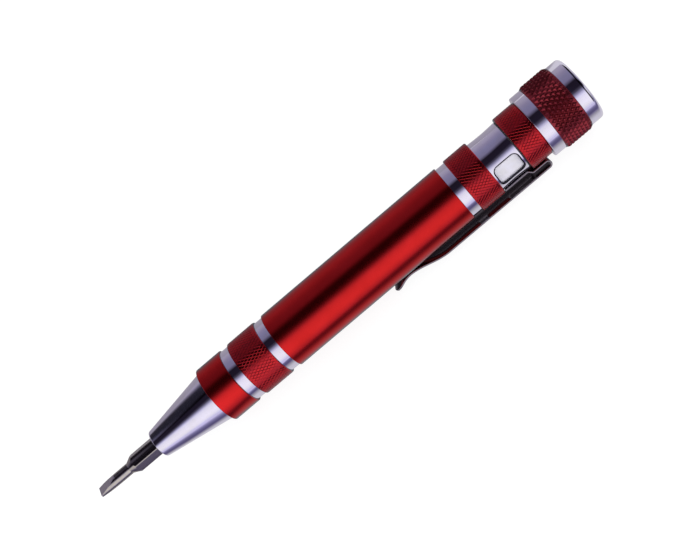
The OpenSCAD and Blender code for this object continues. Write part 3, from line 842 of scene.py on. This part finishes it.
class SCREWDRIVER_OT_knurled_rings(bpy.types.Operator):
    """Builds the knurled rings of the barrel, the collar and the head"""

    bl_idname = "screwdriver.knurled_rings"
    bl_label = "Knurled Rings"

    def execute(self, context):
        knurl, barrel, head = sizes("knurl"), sizes("barrel"), sizes("head")
        on_ring = {
            "Around": knurl.ring_around,
            "Rows": knurl.ring_rows,
            "Depth": knurl.ring_depth,
            "Flat Share": knurl.ring_top,
        }
        on_collar = {**on_ring, "Rows": knurl.collar_rows, "Depth": knurl.collar_depth}
        on_grip = {
            "Around": knurl.grip_around,
            "Rows": knurl.grip_rows,
            "Depth": knurl.grip_depth,
            "Flat Share": knurl.grip_top,
        }
        fine, deep = knurled_red_aluminium, deep_knurled_red_aluminium
        ring_bore = span("front_knurl_ring")[2] - barrel.sleeve_wall
        rings = (
            ("front_knurl", "front_knurl_ring", "barrel", fine, ring_bore, on_ring),
            ("rear_knurl", "rear_knurl_ring", "barrel", fine, ring_bore, on_ring),
            ("collar_knurl", "head_collar", "head", fine, head.bore_r, on_collar),
            ("grip_knurl", "head_grip_ring", "head", deep, head.seat_r + barrel.glue_gap, on_grip),
        )
        for name, node, body, finish, bore, pattern in rings:
            ring = knurled_ring(name, node, finish, bore, pattern)
            place_piece(ring, finish, body, "red_aluminium", node)
        return {"FINISHED"}


class SCREWDRIVER_OT_neck(bpy.types.Operator):
    """Builds the neck with its window and the flat for the clip"""

    bl_idname = "screwdriver.neck"
    bl_label = "Neck"

    def execute(self, context):
        neck = sizes("neck")
        start, end, radius = span("neck_sleeve")
        x_neck = span("rear_knurl_ring")[1]
        shoulder = x_neck - sizes("barrel").lip_len
        bore = radius - neck.wall
        waist = [
            (x_neck + (end - x_neck) * k / BEND_STEPS, radius - neck.waist * math.sin(math.pi * k / BEND_STEPS))
            for k in range(BEND_STEPS + 1)
        ]
        outline = [(start, bore), (start, neck.plug_r), (shoulder, neck.plug_r), (shoulder, radius)]
        piece = new_piece("windowed_neck", turned_mesh(outline + waist + [(end, bore)]))
        middle = (x_neck + end) / 2
        floor_r = radius - neck.waist - neck.rim_depth
        self.cut_window(piece, neck, middle, radius, floor_r)
        self.cut_seat(piece, x_neck, end, radius)
        clean_cuts(piece)
        ease_edges(piece, neck.edge)
        place_piece(piece, polished_aluminium, "barrel", "bright_aluminium", "neck_sleeve")
        # The window's cut wall and the step round it get a painted shade
        self.paint_cut_shade(piece, neck, middle, floor_r)
        return {"FINISHED"}

    def cut_window(self, piece, neck, middle, radius, floor_r):
        """Mills the shallow step round the window first, and then the window through the wall."""
        turn = neck.window_angle
        place = axes(ALONG, beside(turn), around(turn))
        for more in (neck.rim_w, 0):
            length, width = neck.window_len + 2 * more, neck.window_w + 2 * more
            plate = [(x + middle, y) for x, y in rounded_plate(length, width, neck.window_corner + more)]
            cutter = new_piece("window cutter", prism_mesh(plate, 0, 2 * radius, place))
            if more:
                ends = (middle - length, middle + length)
                inside = [(ends[0], 0), (ends[0], floor_r), (ends[1], floor_r), (ends[1], 0)]
                combine(cutter, new_piece("rim floor", turned_mesh(inside)))
            combine(piece, cutter)

    def cut_seat(self, piece, x_neck, end, radius):
        """Mills the flat that the clip's foot lies on, from just behind the knurled ring to the neck's end."""
        clip = sizes("clip")
        start = x_neck + clip.seat_set
        seat = [(start, -clip.width), (2 * end, -clip.width), (2 * end, clip.width), (start, clip.width)]
        place = axes(ALONG, beside(clip.angle), around(clip.angle))
        floor = clip.foot_h - sizes("barrel").glue_gap
        combine(piece, new_piece("seat cutter", prism_mesh(seat, floor, 2 * radius, place)))

    def paint_cut_shade(self, piece, neck, middle, floor_r):
        """Paints the window's cut wall and the step round it near black: painted shade in the cut."""
        piece.data.materials.append(made(shade_painted_cut_aluminium))
        out, side = around(neck.window_angle), beside(neck.window_angle)
        reach = neck.rim_w + neck.edge
        # A cut face leans off the turned surface or lies on the step's floor, and the bore faces inwards
        turned_lean, bore_lean = math.cos(math.radians(12)), -0.9
        step_r = floor_r + 0.02 * MM
        for face in piece.data.polygons:
            place = face.center
            in_window = (
                abs(place.x - middle) < neck.window_len / 2 + reach
                and abs(place.dot(side)) < neck.window_w / 2 + reach
                and place.dot(out) > 0
            )
            radial = Vector((0, place.y, place.z))
            lean = face.normal.dot(radial.normalized())
            cut = lean < turned_lean or radial.length < step_r
            if in_window and cut and lean > bore_lean:
                face.material_index = 1


class SCREWDRIVER_OT_head(bpy.types.Operator):
    """Builds the head's body with its front band, and the end cap with the bit's exit"""

    bl_idname = "screwdriver.head"
    bl_label = "Head"

    def execute(self, context):
        head = sizes("head")
        start, spindle_end, radius = span("head_body")
        x_grip, x_end, _ = span("head_grip_ring")
        corners = [
            (start, head.bore_r, 0),
            (start, radius, head.band_round),
            (x_grip, radius, 0),
            (x_grip, head.seat_r, 0),
            (x_end, head.seat_r, 0),
            (x_end, head.plug_r, 0),
            (spindle_end, head.plug_r, 0),
            (spindle_end, head.bore_r, 0),
        ]
        body = turned("head_band", corners)
        place_piece(body, polished_aluminium, "head", "bright_aluminium", "head_body")
        self.cap(head, spindle_end)
        return {"FINISHED"}

    def cap(self, head, spindle_end):
        """The end cap: a pocket over the body's plug, and the hole that lets a bit out."""
        start, end, radius = span("head_end_cap")
        glue_gap = sizes("barrel").glue_gap
        pocket_r, pocket_end = head.plug_r + glue_gap, spindle_end + glue_gap
        corners = [
            (pocket_end, 0, 0),
            (pocket_end, pocket_r, 0),
            (start, pocket_r, 0),
            (start, radius, 0),
            (end, radius, head.end_round),
            (end, 0, 0),
        ]
        cap = turned("end_cap", corners)
        turns = [2 * math.pi * k / FINE_TURN_STEPS for k in range(FINE_TURN_STEPS)]
        hole = [(head.exit_ring_r + head.exit_r * math.cos(t), head.exit_r * math.sin(t)) for t in turns]
        drill = prism_mesh(hole, start - OVERRUN, end + OVERRUN, facing(head.exit_angle))
        combine(cap, new_piece("exit drill", drill))
        clean_cuts(cap)
        place_piece(cap, polished_aluminium, "head", "bright_aluminium", "head_end_cap")


def fold_centre(clip):
    """Station and height of the hairpin fold's centre."""
    return span("clip_arm")[1] - clip.fold_h / 2, clip.leaf_h + clip.fold_h / 2


def strip_line(clip):
    """Middle line of the bent strip, as (station, height, half width) from the foot to the free end."""
    half_t = clip.thickness / 2
    x_foot, x_tip = span("clip_foot")[0], span("clip_arm")[0]
    fold_r = (clip.fold_h - clip.thickness) / 2
    x_fold, h_fold = fold_centre(clip)
    low, high, top = clip.foot_h + half_t, clip.leaf_h + half_t, clip.leaf_h + clip.fold_h - half_t
    crest = clip.crest_h + half_t
    x_straight = x_fold - clip.straight
    x_crest = x_straight - clip.bend_len
    flare_len = x_crest - x_tip
    shares = [k / BEND_STEPS for k in range(BEND_STEPS + 1)]
    full, slim = clip.width / 2, clip.tip_w / 2
    line = [(x_foot, low, full)]
    for share in shares:
        rise = (high - low) * (1 - math.cos(math.pi * share)) / 2
        line.append((x_foot + clip.foot_len + share * clip.joggle_len, low + rise, full))
    for share in shares:
        turn = math.pi * (share - 0.5)
        line.append((x_fold + fold_r * math.cos(turn), h_fold + fold_r * math.sin(turn), full))
    for share in shares:
        drop = (top - crest) * (1 - math.cos(math.pi * share)) / 2
        line.append((x_straight - share * clip.bend_len, top - drop, full + (slim - full) * share))
    for share in shares[1:]:
        x = x_crest - flare_len * math.sin(share * math.pi / 2)
        rise = clip.flare * (1 - math.cos((x_crest - x) / flare_len * math.pi / 2))
        inside = x_tip + slim - x
        half = math.sqrt(max(slim * slim - inside * inside, 0)) if inside > 0 else slim
        # The round tip stays a little wider than its edges' rounding
        line.append((x, crest + rise, max(half, 1.001 * clip.edge)))
    return line


def strip_mesh(clip):
    """Closed mesh of the strip: a plate's section with round edges, carried square along the middle line."""
    out, side = around(clip.angle), beside(clip.angle)
    line = strip_line(clip)
    bm = bmesh.new()
    rings = []
    for k, (x, h, half) in enumerate(line):
        before, after = line[max(k - 1, 0)], line[min(k + 1, len(line) - 1)]
        run = Vector((after[0] - before[0], after[1] - before[1])).normalized()
        lift = -run.y * ALONG + run.x * out
        middle = x * ALONG + h * out
        section = rounded_plate(2 * half, clip.thickness, clip.edge)
        rings.append([bm.verts.new(middle + u * side + v * lift) for u, v in section])
    for before, ring in zip(rings, rings[1:]):
        for k in range(len(ring)):
            bm.faces.new((before[k - 1], before[k], ring[k], ring[k - 1]))
    bm.faces.new(rings[0])
    bm.faces.new(rings[-1])
    return bm


class SCREWDRIVER_OT_clip(bpy.types.Operator):
    """Builds the clip from one bent strip, and the rivet that holds its foot"""

    bl_idname = "screwdriver.clip"
    bl_label = "Pocket Clip"

    def execute(self, context):
        clip = sizes("clip")
        strip = new_piece("bent_clip", strip_mesh(clip), sharp=math.radians(40))
        strip.data.materials.append(made(chromed_spring_steel))
        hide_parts("clip_foot", "clip_arm")
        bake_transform(strip)
        self.rivet(clip)
        return {"FINISHED"}

    def rivet(self, clip):
        """A short rivet with a low domed head, turned and then stood on the foot."""
        low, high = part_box("clip_rivet")
        inner = span("neck_sleeve")[2] - sizes("neck").wall
        base = clip.foot_h + clip.thickness
        top = base + clip.rivet_head_h
        head_r = 2 * clip.rivet_r
        corners = [
            (inner, 0, 0),
            (inner, clip.rivet_r, 0),
            (base, clip.rivet_r, 0),
            (base, head_r, 0),
            (top, head_r, 0.9 * clip.rivet_head_h),
            (top, 0, 0),
        ]
        piece = turned("clip_rivet_head", corners, FINE_TURN_STEPS)
        piece.data.transform(Matrix.Translation(((low.x + high.x) / 2, 0, 0)) @ facing(clip.angle))
        place_piece(piece, turned_steel, "barrel", "plain_steel", "clip_rivet")


class SCREWDRIVER_OT_inner_parts(bpy.types.Operator):
    """Gives the pieces inside the barrel and the head their materials"""

    bl_idname = "screwdriver.inner_parts"
    bl_label = "Inner Parts"

    def execute(self, context):
        finishes = {
            turned_steel: ["bit_socket", "drum_snap_ring"] + [n for n in NODES if n.startswith("spare_bit")],
            nickel_plated_magnet: ["nose_magnet"],
            black_acetal: ["bit_magazine", "neck_washer"],
            satin_aluminium: ["selector_drum"],
        }
        for finish, names in finishes.items():
            for name in names:
                for slot in NODES[name].material_slots:
                    slot.material = made(finish)
        return {"FINISHED"}


# Light of the studio round the pen: angle from the camera's side towards the clip's side, and colour
STUDIO_LIGHT = (
    (-180, "#938E97"),
    (-144, "#938E97"),
    (-118, "#9A94A2"),
    (-99, "#928B9E"),
    (-84, "#807991"),
    (-70, "#75718C"),
    (-51, "#6F6A84"),
    (-42, "#4A4558"),
    (-37, "#19141F"),
    (-14, "#1C1724"),
    (-6, "#403C4C"),
    (2, "#84819A"),
    (8, "#B8B4CC"),
    (14, "#D4D1DF"),
    (26, "#E0DCE4"),
    (44, "#E6E2E9"),
    (56, "#E0DCE3"),
    (66, "#C8C5DE"),
    (73, "#B0A9CA"),
    (180, "#ACA9AE"),
)
# The floor as metal shows it, a painted reflection with a painted shadow of the pen from -4 to 7: millimetres from
# the pen away from the clip's side, and colour
FLOOR_LIGHT = (
    (-600, "#C6C0DC"),
    (-250, "#B0A9CA"),
    (-120, "#8983A6"),
    (-80, "#6B6688"),
    (-44, "#565070"),
    (-34, "#565070"),
    (-28, "#767088"),
    (-22, "#95929A"),
    (-15, "#BBB8C0"),
    (-6, "#C4C1C8"),
    (-4, "#8E8A92"),
    (-3, "#2A262C"),
    (4, "#2A262C"),
    (7, "#8E8892"),
    (11, "#A39EA6"),
    (23, "#96919B"),
    (90, "#908A96"),
)
# The floor's strips are this many times narrower under the nose's tip
NOSE_NARROWING = 2.3
# Past the head the floor turns to one colour, over this length, but only this far towards the clip's side
FLOOR_PAST_HEAD = "#C4C1C8"
PAST_HEAD_LEN = 2 * MM
PAST_HEAD_SIDE = (-14 * MM, -10 * MM)

# In the next ones two places say where a change starts and ends, and two values what it goes from and to. Along
# the pen a place is the X of a direction, and round it a share of a turn, with 0.5 at the camera's side.
# The dark strip leans: towards the head it lies 8 degrees nearer to the clip's side
STRIP_LEAN = (-0.3, 0.1, 0.0, 8 / 360)
LEANING_SIDE = (0.555, 0.665, 1.0, 0.0)
# On this side of the camera, towards the clip's side, the lamps run on past the nose
CLIP_SIDE = (0.398, 0.42, 0.0, 1.0)
# Levels of the lamps along the pen, as steps that each join the ones before. There is a gap before the pen's head
LAMPS_TO_HEAD = (("MAXIMUM", 0.3, 0.4, 1.0, 0.04), ("MAXIMUM", 0.72, 0.82, 0.0, 0.85))
# The soft lamp on the far side ends before the pen's nose
LAMP_TO_NOSE = (
    ("MAXIMUM", -0.49, -0.45, 0.08, 1.0),
    ("MINIMUM", -0.40, -0.37, 1.0, 0.08),
    ("MAXIMUM", -0.30, -0.285, 0.08, 1.0),
    ("MAXIMUM", -0.575, -0.55, 0.8, 0.0),
)
# The lamps are brightest before the nose, where only the bit shows them
LAMPS_ON_BIT = (("MINIMUM", -0.30, -0.285, 1.5, 1.0), ("MINIMUM", -0.40, -0.37, 1.0, 1.5))


def filled_ramp(tree, share, stops):
    """Colour ramp over a share, from (place, colour) stops."""
    ramp = add(tree, "ShaderNodeValToRGB", (share,))
    elements = ramp.color_ramp.elements
    low, high = stops[0][0], stops[-1][0]
    for place, _ in stops[1:-1]:
        elements.new((place - low) / (high - low))
    for element, (_, hex_colour) in zip(elements, stops):
        element.color = (*linear(hex_colour), 1.0)
    return ramp


def stepped(tree, value, steps):
    """Level that follows a value in steps."""
    level = None
    for join, *step in steps:
        ramp = add(tree, "ShaderNodeMapRange", (value, *step))
        level = ramp if level is None else add(tree, "ShaderNodeMath", (level, ramp), operation=join)
    return level


def studio_world():
    """World that shows metal a studio: light and dark strips along the pen, and an even light on the rest."""
    studio = sizes("studio")
    world = bpy.data.worlds.new("studio")
    world.use_nodes = True
    tree = world.node_tree
    tree.nodes.clear()
    way = add(tree, "ShaderNodeTexCoord").outputs["Generated"]
    x, y, z = add(tree, "ShaderNodeSeparateXYZ", (way,)).outputs
    # Share of a whole turn round the pen, with the camera's side in its middle
    share, whole = y, 2 * math.pi
    steps = (("MULTIPLY", -1.0), ("ARCTAN2", z), ("SUBTRACT", studio.view_angle), ("DIVIDE", whole), ("ADD", 1.5))
    for operation, value in (*steps, ("FRACT", 0.0)):
        share = add(tree, "ShaderNodeMath", (share, value), operation=operation)
    lean = add(tree, "ShaderNodeMapRange", (x, *STRIP_LEAN))
    leaning = add(tree, "ShaderNodeMapRange", (share, *LEANING_SIDE))
    lean = add(tree, "ShaderNodeMath", (lean, leaning), operation="MULTIPLY")
    place = add(tree, "ShaderNodeMath", (share, lean), operation="SUBTRACT")
    clip_side = add(tree, "ShaderNodeMapRange", (share, *CLIP_SIDE))
    level = add(tree, "ShaderNodeMath", (stepped(tree, x, LAMP_TO_NOSE), clip_side), operation="MAXIMUM")
    for factor in (stepped(tree, x, LAMPS_TO_HEAD), stepped(tree, x, LAMPS_ON_BIT), studio.lamp_level):
        level = add(tree, "ShaderNodeMath", (level, factor), operation="MULTIPLY")
    colours = filled_ramp(tree, place, STUDIO_LIGHT)
    strips = add(tree, "ShaderNodeBackground", {"Color": colours, "Strength": level})
    even = add(tree, "ShaderNodeBackground", {"Color": WHITE, "Strength": studio.fill_level})
    white = add(tree, "ShaderNodeBackground", {"Color": WHITE, "Strength": 1.0})
    path = add(tree, "ShaderNodeLightPath").outputs
    matt = add(tree, "ShaderNodeMixShader", (path["Is Diffuse Ray"], strips, even))
    seen = add(tree, "ShaderNodeMixShader", (path["Is Camera Ray"], matt, white))
    add(tree, "ShaderNodeOutputWorld", (seen,))
    bpy.context.scene.world = world


def white_paper():
    """White paper sweep: bright to the eye with a soft shadow; in metal a painted reflection, with a painted
    shadow under the pen and darker far off.
    """
    studio = sizes("studio")
    material, tree = material_tree("white paper floor")
    path = add(tree, "ShaderNodeLightPath").outputs
    shown = add(tree, "ShaderNodeMath", (path["Is Camera Ray"], path["Is Transmission Ray"]), operation="MAXIMUM")
    level = add(tree, "ShaderNodeMath", (shown, studio.floor_level), operation="MULTIPLY")
    glow = add(tree, "ShaderNodeEmission", {"Color": WHITE, "Strength": level})
    matt = add(tree, "ShaderNodeBsdfDiffuse", {"Color": (*studio.paper, 1.0)})
    paper = add(tree, "ShaderNodeAddShader", (glow, matt))
    place = add(tree, "ShaderNodeTexCoord").outputs["Object"]
    x, y, _ = add(tree, "ShaderNodeSeparateXYZ", (place,)).outputs
    # The strips draw together under the nose, and end past the head
    nose, barrel, head = span("nose_cone")[0], span("front_sleeve")[0], span("head_end_cap")[1]
    narrow = add(tree, "ShaderNodeMapRange", (x, nose, barrel, NOSE_NARROWING, 1.0))
    across = add(tree, "ShaderNodeMath", (y, narrow), operation="MULTIPLY")
    low, high = FLOOR_LIGHT[0][0] * MM, FLOOR_LIGHT[-1][0] * MM
    share = add(tree, "ShaderNodeMapRange", (across, low, high, 0.0, 1.0))
    past_end = add(tree, "ShaderNodeMapRange", (x, head, head + PAST_HEAD_LEN, 0.0, 1.0))
    this_side = add(tree, "ShaderNodeMapRange", (y, *PAST_HEAD_SIDE, 0.0, 1.0))
    past = add(tree, "ShaderNodeMath", (past_end, this_side), operation="MULTIPLY")
    colours = {0: past, 6: filled_ramp(tree, share, FLOOR_LIGHT), 7: (*linear(FLOOR_PAST_HEAD), 1.0)}
    colours = add(tree, "ShaderNodeMix", colours, data_type="RGBA").outputs[2]
    # Painted reflection of the floor for glossy rays, with a painted shadow under the pen
    painted_reflection = add(tree, "ShaderNodeEmission", {"Color": colours, "Strength": studio.lamp_level})
    both = add(tree, "ShaderNodeMixShader", (path["Is Glossy Ray"], paper, painted_reflection))
    add(tree, "ShaderNodeOutputMaterial", (both,))
    return material


def place_camera(studio):
    """Camera as in the photograph: over one place of the pen, with part of its aim taken up by the lens shift."""
    back = around(studio.view_angle)
    across = back.cross(ALONG)
    right = math.cos(PEN_SLOPE) * ALONG - math.sin(PEN_SLOPE) * across
    up = math.sin(PEN_SLOPE) * ALONG + math.cos(PEN_SLOPE) * across
    foot = Vector((PHOTO_FOOT[0] - PHOTO_W / 2, PHOTO_H / 2 - PHOTO_FOOT[1]))
    turn = foot * (SHIFT_SHARE - 1)
    aim = (right * turn.x + up * turn.y - back * PHOTO_FOCAL).normalized()
    swing = (-back).rotation_difference(aim)
    data = bpy.data.cameras.new("camera")
    data.lens = data.sensor_width * PHOTO_FOCAL / PHOTO_W / -aim.dot(back)
    data.shift_x, data.shift_y = -foot * SHIFT_SHARE / PHOTO_W
    data.clip_start = 10 * MM
    camera = bpy.data.objects.new("camera", data)
    station = Matrix.Translation(ALONG * studio.station + back * studio.distance)
    camera.matrix_world = station @ axes(swing @ right, swing @ up, -aim)
    bpy.context.scene.collection.objects.link(camera)
    bpy.context.scene.camera = camera


class SCREWDRIVER_OT_stage(bpy.types.Operator):
    """Builds the floor, the studio's light and the camera"""

    bl_idname = "screwdriver.stage"
    bl_label = "Stage"

    def execute(self, context):
        studio = sizes("studio")
        place_camera(studio)
        studio_world()
        low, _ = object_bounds()
        half = studio.floor_w / 2
        bm = bmesh.new()
        corners = [(-half, -half), (half, -half), (half, half), (-half, half)]
        bm.faces.new([bm.verts.new((x, y, low.z)) for x, y in corners])
        floor = new_object("floor", bm)
        floor.data.materials.append(white_paper())
        floor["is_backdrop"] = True
        context.scene.view_settings.view_transform = "Standard"
        return {"FINISHED"}


class Screwdriver(bpy.types.PropertyGroup):
    """All the sizes and colours of the screwdriver and its stage"""

    bit: PointerProperty(name="Bit", description="Sizes of the hex bits", type=BitSizes)
    barrel: PointerProperty(name="Barrel", description="Sizes of the barrel", type=BarrelSizes)
    neck: PointerProperty(name="Neck", description="Sizes of the neck", type=NeckSizes)
    knurl: PointerProperty(name="Knurl", description="Counts and depths of the knurl", type=KnurlSizes)
    head: PointerProperty(name="Head", description="Sizes of the head", type=HeadSizes)
    clip: PointerProperty(name="Clip", description="Sizes of the clip", type=ClipSizes)
    finishes: PointerProperty(name="Finishes", description="Colours of the materials", type=Finishes)
    studio: PointerProperty(name="Studio", description="Places and levels of the stage", type=Studio)


class SCREWDRIVER_PT_build(bpy.types.Panel):
    """Lists the builders of the pieces and of the stage"""

    bl_idname = "SCREWDRIVER_PT_build"
    bl_label = "Pocket Screwdriver"
    bl_space_type = "VIEW_3D"
    bl_region_type = "UI"
    bl_category = "Screwdriver"

    def draw(self, context):
        for operator in OPERATORS:
            self.layout.operator(operator.bl_idname)


OPERATORS = (
    SCREWDRIVER_OT_working_bit,
    SCREWDRIVER_OT_barrel,
    SCREWDRIVER_OT_knurled_rings,
    SCREWDRIVER_OT_neck,
    SCREWDRIVER_OT_head,
    SCREWDRIVER_OT_clip,
    SCREWDRIVER_OT_inner_parts,
    SCREWDRIVER_OT_stage,
)
CLASSES = (
    BitSizes,
    BarrelSizes,
    NeckSizes,
    KnurlSizes,
    HeadSizes,
    ClipSizes,
    Finishes,
    Studio,
    Screwdriver,
    *OPERATORS,
    SCREWDRIVER_PT_build,
)


def register():
    for cls in CLASSES:
        bpy.utils.register_class(cls)
    bpy.types.Scene.pocket_screwdriver = PointerProperty(type=Screwdriver)


def unregister():
    del bpy.types.Scene.pocket_screwdriver
    for cls in reversed(CLASSES):
        bpy.utils.unregister_class(cls)


def main():
    """Builds everything round the frame."""
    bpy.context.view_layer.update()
    register()
    bpy.ops.screwdriver.working_bit()
    bpy.ops.screwdriver.barrel()
    bpy.ops.screwdriver.knurled_rings()
    bpy.ops.screwdriver.neck()
    bpy.ops.screwdriver.head()
    bpy.ops.screwdriver.clip()
    bpy.ops.screwdriver.inner_parts()
    bpy.ops.screwdriver.stage()


if __name__ == "__main__":
    main()
